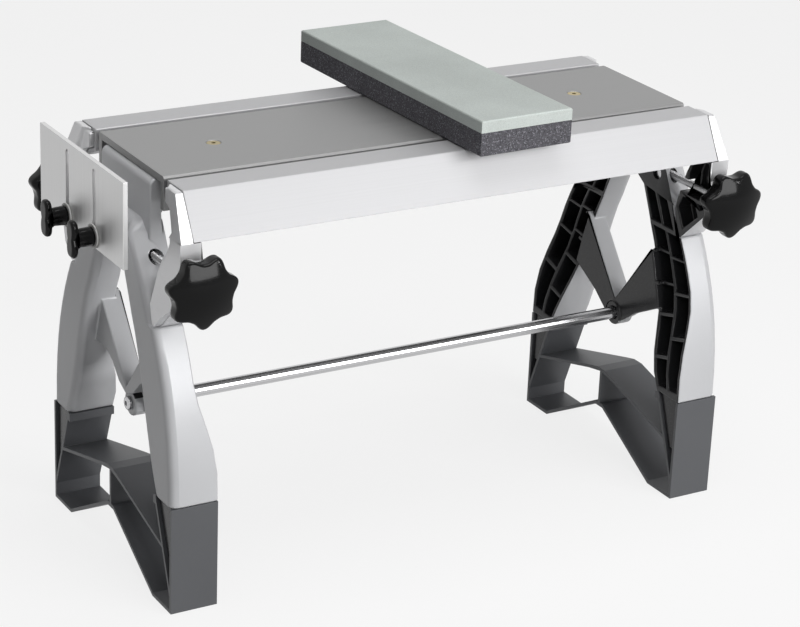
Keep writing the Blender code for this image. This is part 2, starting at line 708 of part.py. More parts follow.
def neck_inner(t):
    # Up the throat to the crotch, then just past the middle of the frame
    crotch = TOP_HEIGHT - CROTCH_DROP
    marks = ((0, leg_inner(1)), (NECK_BEND, Vector((THROAT_HALF_WIDTH, crotch - THROAT_FALL))),
             (NECK_CLOSE, Vector((-NECK_LAP, crotch + THROAT_FALL * NECK_LAP / THROAT_HALF_WIDTH))),
             (1, Vector((-NECK_LAP, NECK_Z))))
    for (start, low), (stop, high) in zip(marks, marks[1:]):
        if t <= stop:
            return low.lerp(high, (t - start) / (stop - start))


def leg_ring(inner, outer, low_x, high_x, corner, draft=0):
    # Cross-section of a leg: square at the inner side, round corners at the outer side
    along = (outer - inner).normalized()
    ring = [(low_x, *inner)]
    for base, direction in ((inner, along), (outer - along * draft, -along)):
        arc = []
        for step in range(CORNER_STEPS + 1):
            angle = math.pi / 2 * step / CORNER_STEPS
            point = base + direction * (corner * (1 - math.cos(angle)))
            arc.append((high_x - corner * (1 - math.sin(angle)), *point))
        ring += arc if base is inner else arc[::-1]
    ring.append((low_x, *outer))
    return ring


def pocket_web_y(z):
    # Outer face of the foot pocket's sloping web, which meets the outer wall at the pocket's floor
    top = FOOT_HALF_WIDTH - LEG_WIDTH_BOTTOM + FOOT_WALL
    floor = FOOT_HALF_WIDTH - FOOT_WALL
    return top + (floor - top) * (FOOT_HEIGHT - z) / POCKET_DEPTH


def leg_mesh():
    rings = []
    wall = FOOT_HALF_WIDTH - FOOT_WALL - SEAT_GAP
    for z in (FOOT_HEIGHT - TONGUE_LENGTH, LEG_FOOT_Z):
        web = Vector((pocket_web_y(z) + SEAT_GAP, z))
        rings.append(leg_ring(web, Vector((wall, z)), FOOT_LOW_X + TONGUE_INSET, FRAME_X - TONGUE_INSET,
                              TONGUE_INSET))
    for k in range(LEG_STATIONS):
        t = k / (LEG_STATIONS - 1)
        rings.append(leg_ring(leg_inner(t), leg_outer(t), FRAME_X - leg_depth(t), FRAME_X, LEG_CORNER))
    for t in (0, NECK_BEND, NECK_CLOSE, NECK_ROUND_START, 1):
        high_x = FRAME_X - (NECK_TOP_ROUND if t == 1 else 0)
        inner = neck_inner(t)
        outer = neck_outer(t)
        if t == 0:
            inner.y += INNER_LEDGE_FALL
            outer.y += LEDGE_FALL
        rings.append(leg_ring(inner, outer, NECK_X, high_x, LEG_CORNER, neck_draft(t)))
    return loft(rings)


def across(inner, outer, amount):
    # A point on a cross-section: measured from the inner edge, or from the outer edge if negative
    along = (outer - inner).normalized()
    return inner + along * amount if amount >= 0 else outer + along * amount


def pocket(inner_curve, outer_curve, start, stop, bay):
    # Prism between two stations of a leg, on the inner (0) or outer (1) side of its middle rib
    near_side = []
    far_side = []
    for t in (start, (start + stop) / 2, stop):
        inner = inner_curve(t)
        outer = outer_curve(t)
        half = (outer - inner).length / 2
        if bay == 0:
            near_side.append(across(inner, outer, LEG_WALL))
            far_side.append(across(inner, outer, half - LEG_RIB / 2))
        else:
            near_side.append(across(inner, outer, half + LEG_RIB / 2))
            far_side.append(across(inner, outer, -LEG_WALL))
    return prism_x(near_side + far_side[::-1], FOOT_LOW_X - LEG_DEPTH_TOP, FRAME_X - LEG_BACK_WALL)


def leg_pockets():
    # Cross ribs of the two bays are staggered along the leg
    length = SHOULDER_Z - LEG_FOOT_Z
    rib = LEG_RIB / length
    cutters = []
    for bay, ribs in enumerate((LEG_INNER_RIBS, LEG_OUTER_RIBS)):
        for start, stop in zip(ribs, ribs[1:]):
            cutters.append(pocket(leg_inner, leg_outer, start + rib / 2, stop - rib / 2, bay))
        cutters.append(pocket(neck_inner, neck_side, NECK_POCKET_START, NECK_BEND, bay))
    return cutters


def both_halves(half):
    # Closes a half outline, which starts and ends on the middle line, with its mirror image
    return half + [(-y, z) for y, z in half[-2:0:-1]]


def brace_mesh():
    # V brace between the legs: a bar on the outer side, backed by a wider web on the inner side
    high_x = FRAME_X - BRACE_INSET
    low_x = high_x - BRACE_THICKNESS
    top = (0, ROD_HEIGHT + BRACE_RISE)
    upper, web_end, bar_end = (tuple(across(leg_inner(share), leg_outer(share), BRACE_ROOT))
                               for share in (BRACE_TOP_SHARE, BRACE_WEB_SHARE, BRACE_BAR_SHARE))
    web_low = ROD_HEIGHT - BRACE_WEB_FOOT_FALL
    bar_low = ROD_HEIGHT + ROD_SCREW_HEAD_RADIUS + BRACE_BAR_CLEAR
    web = [top, upper, web_end, (BRACE_WEB_BEND, ROD_HEIGHT + BRACE_WEB_BEND_RISE),
           (BRACE_WEB_HIP, ROD_HEIGHT - BRACE_WEB_HIP_FALL), (BRACE_WEB_FOOT, web_low), (0, web_low)]
    bar = [top, upper, bar_end, (BRACE_BAR_FLARE, ROD_HEIGHT + BRACE_BAR_FLARE_RISE),
           (BRACE_BAR_BEND, ROD_HEIGHT + BRACE_BAR_BEND_RISE),
           (BRACE_BAR_HIP, ROD_HEIGHT + BRACE_BAR_HIP_RISE), (0, bar_low)]
    return united(prism_x(both_halves(web), low_x, low_x + BRACE_WEB),
                  prism_x(both_halves(bar), low_x + BOSS_STEP, high_x))


def head_mesh():
    # The wall over the neck, with a rounded lip, and the shelf under the plate
    high_x = HALF_LENGTH + HEAD_OVERHANG
    wall_x = high_x - HEAD_WALL
    top = TOP_HEIGHT - PLATE_THICKNESS - GAP
    under = top - SHELF_THICKNESS
    low = NECK_Z - HEAD_TAIL
    shelf_x = HALF_LENGTH - SHELF_LENGTH
    turns = [math.pi / 2 * step / LIP_STEPS for step in range(LIP_STEPS, -1, -1)]
    lip = [(high_x - HEAD_LIP * (1 - math.sin(a)), top - HEAD_LIP * (1 - math.cos(a))) for a in turns]
    outline = [(high_x, low)] + lip
    outline += [(shelf_x, top), (shelf_x, under), (wall_x - HEAD_GUSSET, under),
                (wall_x, under - HEAD_GUSSET), (wall_x, low)]
    return prism_y(outline, -HEAD_HALF_WIDTH, HEAD_HALF_WIDTH)


def boss_low_x():
    return FRAME_X - BRACE_INSET - BRACE_THICKNESS - BOSS_STEP


def frame_mesh():
    leg = leg_mesh()
    boss_low = boss_low_x()
    boss = turned([(boss_low, BOSS_RADIUS), (boss_low + BOSS_LENGTH, BOSS_RADIUS)], "x", (0, 0, ROD_HEIGHT))
    frame = united(leg, mirrored(leg, 1, -1), brace_mesh(), boss, head_mesh())
    pockets = leg_pockets()
    pockets += [mirrored(cutter, 1, -1) for cutter in pockets]
    frame = cut(frame, *pockets)
    socket = turned([(boss_low - GAP, ROD_RADIUS + GAP), (boss_low + ROD_SOCKET, ROD_RADIUS + GAP)], "x",
                    (0, 0, ROD_HEIGHT))
    screw_x = HALF_LENGTH - PLATE_SCREW_INSET
    screw_hole = turned([(TOP_HEIGHT - PLATE_SCREW_LENGTH, PLATE_SCREW_RADIUS + GAP),
                         (TOP_HEIGHT, PLATE_SCREW_RADIUS + GAP)], "z", (screw_x, 0, 0), SMALL_SIDES)
    first = [socket, screw_hole]
    second = [turned([(boss_low, ROD_SCREW_RADIUS + GAP), (FRAME_X, ROD_SCREW_RADIUS + GAP)], "x",
                     (0, 0, ROD_HEIGHT), SMALL_SIDES)]
    for _, side in SIDES:
        bore_top = SPINDLE_X + NUT_LENGTH / 2 + GAP
        first.append(turned([(NECK_X - GAP, NUT_RADIUS + GAP), (bore_top, NUT_RADIUS + GAP)], "x",
                            (0, side * nut_y(), SPINDLE_Z), SMALL_SIDES))
        stud_hole = [(x, STUD_RADIUS + GAP) for x in (FRAME_X - STUD_GRIP - GAP, FRAME_X + GAP)]
        stud_y = side * STOP_SCREW_SPACING / 2
        first.append(turned(stud_hole, "x", (0, stud_y, STOP_SCREW_Z), SMALL_SIDES))
        ends = sorted((side * (nut_y() - NUT_RADIUS - 2 * SPINDLE_PAST_NUT), side * RAIL_INNER_Y))
        spindle_bore = [(y, SPINDLE_NECK_BORE) for y in ends]
        second.append(turned(spindle_bore, "y", (SPINDLE_X, 0, SPINDLE_Z), SMALL_SIDES))
    return cut(cut(frame, *first), *second)


# Feet, drawn for the right end

def foot_mesh():
    outer = FOOT_HALF_WIDTH
    wall = outer - FOOT_WALL
    floor_z = FOOT_HEIGHT - POCKET_DEPTH
    web_top = outer - LEG_WIDTH_BOTTOM
    join_web = pocket_web_y(FOOT_SHEET_JOIN) - FOOT_WALL
    flange_end = outer - FOOT_FLANGE
    half = [(FOOT_APEX_FLAT, FOOT_LOWER_APEX), (flange_end, 0), (outer, 0), (outer, FOOT_HEIGHT),
            (wall, FOOT_HEIGHT), (wall, floor_z), (web_top + FOOT_WALL, FOOT_HEIGHT),
            (web_top - FOOT_LIP, FOOT_HEIGHT), (web_top - FOOT_LIP, FOOT_HEIGHT - FOOT_LIP_HEIGHT),
            (pocket_web_y(FOOT_HEIGHT - FOOT_LIP_HEIGHT) - FOOT_WALL, FOOT_HEIGHT - FOOT_LIP_HEIGHT),
            (join_web, FOOT_SHEET_JOIN), (FOOT_APEX_BEND, FOOT_UPPER_APEX - FOOT_APEX_FALL),
            (FOOT_APEX_FLAT, FOOT_UPPER_APEX)]
    outline = half + [(-y, z) for y, z in reversed(half)]
    body = prism_x(outline, FOOT_LOW_X, FRAME_X)
    rise = FOOT_LOWER_APEX / (flange_end - FOOT_APEX_FLAT)
    sloping_wall = FOOT_WALL * math.hypot(1, rise)
    over = FOOT_LOWER_APEX + sloping_wall
    under = FOOT_UPPER_APEX - FOOT_WALL
    sheet_low = FOOT_SHEET_JOIN - FOOT_WALL
    web_low = floor_z + FOOT_WALL
    cell = [(FOOT_WALL / 2, over), (FOOT_APEX_FLAT, over),
            (flange_end + (sloping_wall - FOOT_WALL) / rise, FOOT_WALL), (wall, FOOT_WALL),
            (wall, floor_z - FOOT_CELL_FALL), (pocket_web_y(web_low) - FOOT_WALL, web_low),
            (pocket_web_y(sheet_low) - FOOT_WALL, sheet_low), (FOOT_APEX_BEND, under - FOOT_APEX_FALL),
            (FOOT_WALL / 2, under)]
    cells = [prism_x([(side * y, z) for y, z in cell], FOOT_LOW_X - GAP, FRAME_X + GAP) for side in (-1, 1)]
    return cut(body, *cells)


# Stretcher rod and its end screws

def rod_end_x():
    return boss_low_x() + ROD_SOCKET - GAP


def rod_mesh():
    end = rod_end_x()
    rod = turned([(-end, ROD_RADIUS), (end, ROD_RADIUS)], "x", (0, 0, ROD_HEIGHT), SMALL_SIDES)
    bore = ROD_SCREW_RADIUS + THREAD_GAP
    holes = []
    for _, sign in ENDS:
        hole = sorted((sign * (end + GAP), sign * (end - ROD_SCREW_GRIP - GAP)))
        holes.append(turned([(x, bore) for x in hole], "x", (0, 0, ROD_HEIGHT), SMALL_SIDES))
    return cut(rod, *holes)


def rod_screw_mesh():
    seat = boss_low_x() + BOSS_LENGTH + GAP
    profile = [(rod_end_x() - ROD_SCREW_GRIP, ROD_SCREW_RADIUS), (seat, ROD_SCREW_RADIUS),
               (seat, ROD_SCREW_HEAD_RADIUS), (seat + ROD_SCREW_RIM, ROD_SCREW_HEAD_RADIUS),
               (seat + ROD_SCREW_HEAD, ROD_SCREW_FACE_RADIUS)]
    return turned(profile, "x", (0, 0, ROD_HEIGHT), SMALL_SIDES)


# End stop, drawn at the right end and mirrored to the left

def stop_plate_mesh():
    top = TOP_HEIGHT + STOP_ABOVE_TOP
    half = STOP_WIDTH / 2
    outline = [(-half, top - STOP_HEIGHT), (half, top - STOP_HEIGHT), (half, top), (-half, top)]
    plate = prism_x(outline, STOP_BACK_X, STOP_FACE_X)
    radius = STOP_SLOT_WIDTH / 2
    low = STOP_SCREW_Z - GAP
    high = low + STOP_SLOT_LENGTH - STOP_SLOT_WIDTH
    slots = []
    for _, side in SIDES:
        arc = [math.pi * step / SLOT_END_STEPS for step in range(SLOT_END_STEPS + 1)]
        slot = [(radius * math.cos(a), high + radius * math.sin(a)) for a in arc]
        slot += [(-radius * math.cos(a), low - radius * math.sin(a)) for a in arc]
        shift = side * STOP_SCREW_SPACING / 2
        slots.append(prism_x([(y + shift, z) for y, z in slot], STOP_BACK_X - GAP, STOP_FACE_X + GAP))
    return cut(plate, *slots)


def sleeve(low, high, radius, bore):
    body = turned([(low, radius), (high, radius)], "x", (0, 0, 0))
    hole = turned([(low - GAP, bore), (high + GAP, bore)], "x", (0, 0, 0), SMALL_SIDES)
    return cut(body, hole)


def standoff_mesh():
    return sleeve(FRAME_X + GAP, STOP_BACK_X - GAP, STANDOFF_RADIUS, STUD_RADIUS + GAP)


def washer_mesh():
    return sleeve(STOP_FACE_X + GAP, HUB_BASE_X - GAP, WASHER_RADIUS, STUD_RADIUS + GAP)


def stud_mesh():
    low = FRAME_X - STUD_GRIP
    high = HUB_BASE_X + STUD_INSERT - THREAD_GAP
    return turned([(low, STUD_RADIUS), (high, STUD_RADIUS)], "x", (0, 0, 0), SMALL_SIDES)


def thumb_knob_mesh():
    # Round hub that carries an oval two-winged grip
    half_length = THUMB_WING_LENGTH / 2
    half_width = THUMB_WING_WIDTH / 2
    hub_end = HUB_BASE_X + THUMB_HUB_LENGTH
    edge = THUMB_WING_EDGE

    def ring(x, reach_y, reach_z, power):
        points = []
        for i in range(ROUND_SIDES):
            angle = math.tau * i / ROUND_SIDES
            c = math.cos(angle)
            s = math.sin(angle)
            y = reach_y * math.copysign(abs(c) ** power, c)
            z = reach_z * math.copysign(abs(s) ** power, s)
            points.append((x, y, z))
        return points

    radius = THUMB_HUB_RADIUS
    slim = radius - THUMB_HUB_TAPER
    knob = loft([ring(HUB_BASE_X, radius, radius, 1), ring(hub_end, slim, slim, 1),
                 ring(hub_end + GAP, half_width - edge, half_length - edge, THUMB_WING_POWER),
                 ring(hub_end + edge, half_width, half_length, THUMB_WING_POWER),
                 ring(THUMB_FRONT_X - edge, half_width, half_length, THUMB_WING_POWER),
                 ring(THUMB_FRONT_X, half_width - edge, half_length - edge, THUMB_WING_POWER)])
    bore = STUD_RADIUS + THREAD_GAP
    hole = turned([(HUB_BASE_X - GAP, bore), (HUB_BASE_X + STUD_INSERT, bore)], "x", (0, 0, 0), SMALL_SIDES)
    return cut(knob, hole)


# Whetstone

def stone_layer_mesh(low, high, edge_low, edge_high):
    rings = []
    for z, edge in ((low, edge_low), (low + edge_low, 0), (high - edge_high, 0), (high, edge_high)):
        half_x = STONE_WIDTH / 2 - edge
        half_y = STONE_LENGTH / 2 - edge
        rings.append([(-half_x, -half_y, z), (half_x, -half_y, z), (half_x, half_y, z), (-half_x, half_y, z)])
    return loft(rings)


# Assembly

def build_standing_parts(table, looks):
    place("top_plate", plate_mesh(), looks["plate"], parent=table)
    frame = frame_mesh()
    foot = foot_mesh()
    nut = nut_mesh()
    place("stretcher_rod", rod_mesh(), looks["steel"], (0, 0, ROD_HEIGHT), table)
    for end_name, end in ENDS:
        place(f"{end_name}_frame", mirrored(frame, end, 1), looks["frame"], parent=table)
        place(f"{end_name}_foot", mirrored(foot, end, 1), looks["foot"], parent=table)
        place(f"{end_name}_plate_screw", plate_screw_mesh(end), looks["screw"],
              (end * (HALF_LENGTH - PLATE_SCREW_INSET), 0, TOP_HEIGHT), table)
        place(f"{end_name}_rod_screw", mirrored(rod_screw_mesh(), end, 1), looks["steel"],
              (0, 0, ROD_HEIGHT), table)
        for side_name, side in SIDES:
            place(f"{side_name}_{end_name}_clamp_nut", mirrored(nut, end, side), looks["steel"],
                  (end * SPINDLE_X, side * nut_y(), SPINDLE_Z), table)


def build_jaws(table, looks):
    rail = rail_mesh()
    arm = arm_mesh()
    spindle = spindle_mesh()
    knob = knob_mesh()
    for side_name, side in SIDES:
        hinge = (0, side * HINGE_Y, HINGE_Z)
        jaw = empty(f"{side_name}_jaw_hinge", hinge, table)
        place(f"{side_name}_rail", mirrored(rail, 1, side), looks["rail"], hinge, jaw)
        for end_name, end in ENDS:
            corner = f"{side_name}_{end_name}"
            place(f"{corner}_arm", mirrored(arm, end, side), looks["frame"], hinge, jaw)
            axis = (end * SPINDLE_X, side * SEAT_Y, SPINDLE_Z)
            screw = empty(f"{corner}_clamp_axis", axis, table)
            place(f"{corner}_spindle", mirrored(spindle, end, side), looks["steel"], axis, screw)
            place(f"{corner}_knob", mirrored(knob, end, side), looks["knob"], axis, screw)


def build_end_stop(table, looks):
    plate = mirrored(stop_plate_mesh(), -1, 1)
    place("stop_plate", plate, looks["stop"], (-STOP_BACK_X, 0, STOP_SCREW_Z), table)
    pieces = (("standoff", standoff_mesh, "steel"), ("thumb_washer", washer_mesh, "washer"),
              ("thumb_stud", stud_mesh, "steel"), ("thumb_knob", thumb_knob_mesh, "knob"))
    for side_name, side in SIDES:
        axis = (-STOP_FACE_X, side * STOP_SCREW_SPACING / 2, STOP_SCREW_Z)
        for piece, shape, look in pieces:
            mesh = mirrored(shape(), -1, 1)
            mesh.transform(Matrix.Translation((0, axis[1], axis[2])))
            place(f"{side_name}_{piece}", mesh, looks[look], axis, table)


def build_stone(table, looks):
    base = TOP_HEIGHT + GAP
    stone = empty("stone_place", (*STONE_PLACE, base), table)
    stone.rotation_euler.z = STONE_TURN
    bond = STONE_COARSE + GAP
    layers = (("stone_coarse_layer", 0, STONE_COARSE, STONE_EDGE, 0, "coarse"),
              ("stone_fine_layer", bond, bond + STONE_FINE, 0, STONE_EDGE, "fine"))
    for name, low, high, edge_low, edge_high, look in layers:
        node = place(name, stone_layer_mesh(low, high, edge_low, edge_high), looks[look])
        node.parent = stone


def main():
    clear_scene()
    looks = {"plate": material("satin_aluminium", (0.40, 0.40, 0.40), 0.38, 0.9),
             "rail": material("white_anodised", (0.80, 0.80, 0.81), 0.35, 0.6),
             "frame": material("silver_paint", (0.52, 0.53, 0.55), 0.35, 0.7),
             "foot": material("dark_grey_paint", (0.13, 0.135, 0.145), 0.5),
             "steel": material("bright_steel", (0.62, 0.62, 0.63), 0.25, 1.0),
             "screw": material("yellow_zinc", (0.42, 0.36, 0.20), 0.4, 0.9),
             "knob": material("gloss_black", (0.01, 0.01, 0.011), 0.15),
             "stop": material("natural_aluminium", (0.48, 0.48, 0.48), 0.42, 0.9),
             "washer": material("pale_nylon", (0.75, 0.75, 0.74), 0.5),
             "fine": material("green_stone", (0.55, 0.60, 0.57), 0.9),
             "coarse": material("grey_stone", (0.075, 0.072, 0.085), 0.95)}
    table = empty("table", (0, 0, 0))
    table.location = CENTRE
    build_standing_parts(table, looks)
    build_jaws(table, looks)
    build_end_stop(table, looks)
    build_stone(table, looks)


main()
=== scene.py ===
import json
import math

import bmesh
import bpy
from mathutils import Matrix, Vector
from mathutils.bvhtree import BVHTree

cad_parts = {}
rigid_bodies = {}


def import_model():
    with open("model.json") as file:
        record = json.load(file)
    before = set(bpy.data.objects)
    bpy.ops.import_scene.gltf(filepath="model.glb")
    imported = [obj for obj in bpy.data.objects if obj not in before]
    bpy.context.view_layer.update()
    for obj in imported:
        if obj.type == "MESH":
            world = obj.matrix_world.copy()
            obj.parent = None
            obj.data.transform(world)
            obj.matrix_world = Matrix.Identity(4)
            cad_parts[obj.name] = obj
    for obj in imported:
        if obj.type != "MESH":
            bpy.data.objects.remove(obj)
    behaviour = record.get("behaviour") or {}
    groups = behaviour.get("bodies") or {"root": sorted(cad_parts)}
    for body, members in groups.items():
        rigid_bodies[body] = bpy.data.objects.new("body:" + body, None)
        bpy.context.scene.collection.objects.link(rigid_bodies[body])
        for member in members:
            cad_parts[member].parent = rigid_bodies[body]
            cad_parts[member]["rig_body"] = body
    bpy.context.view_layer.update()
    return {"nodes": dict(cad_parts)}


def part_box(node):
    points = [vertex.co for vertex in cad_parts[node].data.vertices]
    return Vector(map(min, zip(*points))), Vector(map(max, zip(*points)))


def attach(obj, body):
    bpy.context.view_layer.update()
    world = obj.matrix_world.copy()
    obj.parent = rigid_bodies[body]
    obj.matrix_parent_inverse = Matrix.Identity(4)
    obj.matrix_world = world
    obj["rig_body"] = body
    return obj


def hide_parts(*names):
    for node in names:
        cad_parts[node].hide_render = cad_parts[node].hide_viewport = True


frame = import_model()
nodes = frame["nodes"]

SIDES = (("near", -1), ("far", 1))
ENDS = (("left", -1), ("right", 1))
CORNERS = [(f"{side}_{end}", side_sign, end_sign) for side, side_sign in SIDES for end, end_sign in ENDS]

# Edges of rigid pieces are broken by a small round, wider on the mouldings
EDGE_ROUND = 0.0006
MOULDING_ROUND = 0.0011
HOLE_SURROUND = 0.026
ROUND_ROOM = 0.003
FINE_EDGE_ROUND = 0.0003
EDGE_SEGMENTS = 2
EDGE_ANGLE = math.radians(32)
SMOOTH_ANGLE = math.radians(36)
FLAT_ANGLE = math.radians(0.4)
WELD = 0.00001


# Materials: how far roughness and relief follow the brushed lines, the grain of a coat, the grit and a thread
BRUSH_DETAIL = 4.0
BRUSH_ROUGH_SPREAD = 0.05
BRUSH_RELIEF = 0.00005
COAT_CLOUDS = (9, 9, 9)
COAT_DETAIL = 2.0
COAT_SMOOTHER = 0.04
COAT_ROUGHER = 0.06
COAT_RELIEF = 0.0001
GRIT_ROUGHNESS = 0.92
GRIT_SPECULAR = 0.4
GRIT_MIDDLE = (0.25, 0.8)
GRIT_CLOUDS = (14, 14, 14)
GRIT_CLOUD_DARK = 0.93
GRIT_CLOUD_LIGHT = 1.05
GRIT_RELIEF = 0.0004
THREAD_ROUGHNESS = 0.26
THREAD_STRENGTH = 0.6
THREAD_RELIEF = 0.0003


def add_node(tree, kind, **inputs):
    node = tree.nodes.new(kind)
    for name, value in inputs.items():
        socket = node.inputs[name.replace("_", " ")]
        if isinstance(value, bpy.types.NodeSocket):
            tree.links.new(value, socket)
        else:
            socket.default_value = value
    return node


def add_sum(tree, operation, *values):
    node = tree.nodes.new("ShaderNodeMath")
    node.operation = operation
    for socket, value in zip(node.inputs, values):
        if isinstance(value, bpy.types.NodeSocket):
            tree.links.new(value, socket)
        else:
            socket.default_value = value
    return node.outputs["Value"]


def new_look(name, roughness, metallic=0.0, specular=0.5):
    look = bpy.data.materials.new(name)
    look.use_nodes = True
    shader = look.node_tree.nodes["Principled BSDF"]
    shader.inputs["Roughness"].default_value = roughness
    shader.inputs["Metallic"].default_value = metallic
    shader.inputs["Specular IOR Level"].default_value = specular
    return look, look.node_tree, shader


def stretched_noise(tree, stretch, detail=3.0):
    # Noise in the object's own space, finer along the axes with a larger stretch
    place = tree.nodes.new("ShaderNodeTexCoord").outputs["Object"]
    mapped = add_node(tree, "ShaderNodeMapping", Vector=place, Scale=stretch).outputs["Vector"]
    return add_node(tree, "ShaderNodeTexNoise", Vector=mapped, Scale=1.0, Detail=detail).outputs["Fac"]


def between(tree, value, low, high, start=0.35, stop=0.65):
    ranged = add_node(tree, "ShaderNodeMapRange", Value=value, From_Min=start, From_Max=stop,
                      To_Min=low, To_Max=high)
    return ranged.outputs["Result"]


def tinted(tree, shader, value, dark, light, start=0.35, stop=0.65):
    ramp = add_node(tree, "ShaderNodeValToRGB", Fac=value)
    ramp.color_ramp.elements[0].position = start
    ramp.color_ramp.elements[0].color = (*dark, 1)
    ramp.color_ramp.elements[1].position = stop
    ramp.color_ramp.elements[1].color = (*light, 1)
    tree.links.new(ramp.outputs["Color"], shader.inputs["Base Color"])


def relief(tree, shader, height, strength, distance):
    bump = add_node(tree, "ShaderNodeBump", Height=height, Strength=strength, Distance=distance)
    tree.links.new(bump.outputs["Normal"], shader.inputs["Normal"])


def shade(colour, factor):
    return tuple(min(1.0, channel * factor) for channel in colour)


def brushed_look(name, colour, roughness, metallic, stretch, spread=0.05, strength=0.06):
    # Metal with fine drawn lines along one axis
    look, tree, shader = new_look(name, roughness, metallic)
    lines = stretched_noise(tree, stretch, BRUSH_DETAIL)
    tinted(tree, shader, lines, shade(colour, 1 - spread), shade(colour, 1 + spread))
    rough = between(tree, lines, roughness - BRUSH_ROUGH_SPREAD, roughness + BRUSH_ROUGH_SPREAD)
    tree.links.new(rough, shader.inputs["Roughness"])
    relief(tree, shader, lines, strength, BRUSH_RELIEF)
    return look


def coated_look(name, colour, roughness, metallic, grain, spread=0.05, strength=0.08, specular=0.5):
    # Paint, coating or moulded plastic with a fine even grain and a slow change of tone
    look, tree, shader = new_look(name, roughness, metallic, specular)
    slow = stretched_noise(tree, COAT_CLOUDS, COAT_DETAIL)
    tinted(tree, shader, slow, shade(colour, 1 - spread), shade(colour, 1 + spread))
    fine = stretched_noise(tree, (grain,) * 3, COAT_DETAIL)
    rough = between(tree, fine, roughness - COAT_SMOOTHER, roughness + COAT_ROUGHER)
    tree.links.new(rough, shader.inputs["Roughness"])
    relief(tree, shader, fine, strength, COAT_RELIEF)
    return look


def stone_look(name, colour, dark, light, grain, strength):
    # Bonded grit: grains of three tones with open pores between them
    look, tree, shader = new_look(name, GRIT_ROUGHNESS, specular=GRIT_SPECULAR)
    place = tree.nodes.new("ShaderNodeTexCoord").outputs["Object"]
    cells = add_node(tree, "ShaderNodeTexVoronoi", Vector=place, Scale=grain)
    tone = add_node(tree, "ShaderNodeSeparateColor", Color=cells.outputs["Color"]).outputs["Red"]
    tones = add_node(tree, "ShaderNodeValToRGB", Fac=tone)
    ramp = tones.color_ramp
    ramp.elements[0].color = (*dark, 1)
    ramp.elements[1].color = (*light, 1)
    for position in GRIT_MIDDLE:
        ramp.elements.new(position).color = (*colour, 1)
    slow = between(tree, stretched_noise(tree, GRIT_CLOUDS), GRIT_CLOUD_DARK, GRIT_CLOUD_LIGHT)
    clouded = add_node(tree, "ShaderNodeVectorMath", Vector=tones.outputs["Color"])
    clouded.operation = "SCALE"
    tree.links.new(slow, clouded.inputs["Scale"])
    tree.links.new(clouded.outputs["Vector"], shader.inputs["Base Color"])
    relief(tree, shader, cells.outputs["Distance"], strength, GRIT_RELIEF)
    return look


def threaded_look(name, colour, pitch, axis):
    # Bright steel whose relief is a screw thread along the given axis of the piece
    look, tree, shader = new_look(name, THREAD_ROUGHNESS, 1.0)
    shader.inputs["Base Color"].default_value = (*colour, 1)
    place = tree.nodes.new("ShaderNodeTexCoord").outputs["Object"]
    along = add_node(tree, "ShaderNodeSeparateXYZ", Vector=place).outputs[axis]
    wave = add_sum(tree, "SINE", add_sum(tree, "MULTIPLY", along, math.tau / pitch))
    relief(tree, shader, wave, THREAD_STRENGTH, THREAD_RELIEF)
    return look


PALE_GRIT = (0.59, 0.635, 0.61)
DARK_GRIT = (0.098, 0.096, 0.108)

LOOKS = {
    "plate": brushed_look("plate_satin", (0.29, 0.29, 0.29), 0.48, 0.7, (3, 900, 900)),
    "rail": brushed_look("rail_anodised", (0.50, 0.50, 0.51), 0.46, 0.25, (4, 1100, 1100), 0.02, 0.03),
    "silver": coated_look("silver_lacquer", (0.57, 0.575, 0.59), 0.36, 0.1, 2600, 0.04, 0.05, 0.4),
    # The arms wear the frames' silver paint; this lighter, more metallic copy of it is painted light for the
    # brighter light on the arms
    "arm": coated_look("arm_silver_painted_light", (0.70, 0.70, 0.71), 0.38, 0.5, 2600, 0.04, 0.05),
    "black": coated_look("black_moulding", (0.03, 0.03, 0.032), 0.22, 0.0, 1800, 0.1, 0.04, 0.3),
    "foot": coated_look("foot_coat", (0.092, 0.095, 0.102), 0.46, 0.1, 3200, 0.05, 0.12),
    "steel": brushed_look("steel_drawn", (0.52, 0.52, 0.53), 0.24, 1.0, (6, 1500, 1500)),
    "thread_y": threaded_look("steel_thread_across", (0.56, 0.56, 0.57), 0.001, 1),
    "thread_x": threaded_look("steel_thread_along", (0.56, 0.56, 0.57), 0.0008, 0),
    "zinc": coated_look("zinc_yellow", (0.40, 0.33, 0.17), 0.34, 0.95, 1500, 0.2, 0.08),
    "knob": coated_look("knob_gloss", (0.002, 0.002, 0.0022), 0.11, 0.0, 1400, 0.1, 0.01, 0.17),
    "stop": brushed_look("stop_satin", (0.66, 0.66, 0.66), 0.42, 0.8, (700, 700, 5), 0.03, 0.05),
    "nylon": coated_look("nylon_natural", (0.74, 0.74, 0.72), 0.48, 0.0, 2200, 0.03, 0.05),
    "fine": stone_look("stone_fine_grit", PALE_GRIT, shade(PALE_GRIT, 0.85), shade(PALE_GRIT, 1.14),
                       2600, 0.1),
    "coarse": stone_look("stone_coarse_grit", DARK_GRIT, shade(DARK_GRIT, 0.4), shade(DARK_GRIT, 2.9),
                         1500, 0.5),
}


# Pieces

def dress(name, look, edge=EDGE_ROUND):
    # A CAD node that keeps its shape: welded, with broken edges and a new material
    node = nodes[name]
    node.data.materials.clear()
    node.data.materials.append(LOOKS[look])
    weld = node.modifiers.new("weld", "WELD")
    weld.merge_threshold = WELD
    soften(node, edge)


def soften(piece, edge, weighted=False):
    bevel = piece.modifiers.new("edges", "BEVEL")
    bevel.width = edge
    bevel.segments = EDGE_SEGMENTS
    bevel.limit_method = "WEIGHT" if weighted else "ANGLE"
    bevel.angle_limit = EDGE_ANGLE
    bevel.harden_normals = True
    bevel.use_clamp_overlap = not weighted
    normals = piece.modifiers.new("normals", "WEIGHTED_NORMAL")
    normals.keep_sharp = True


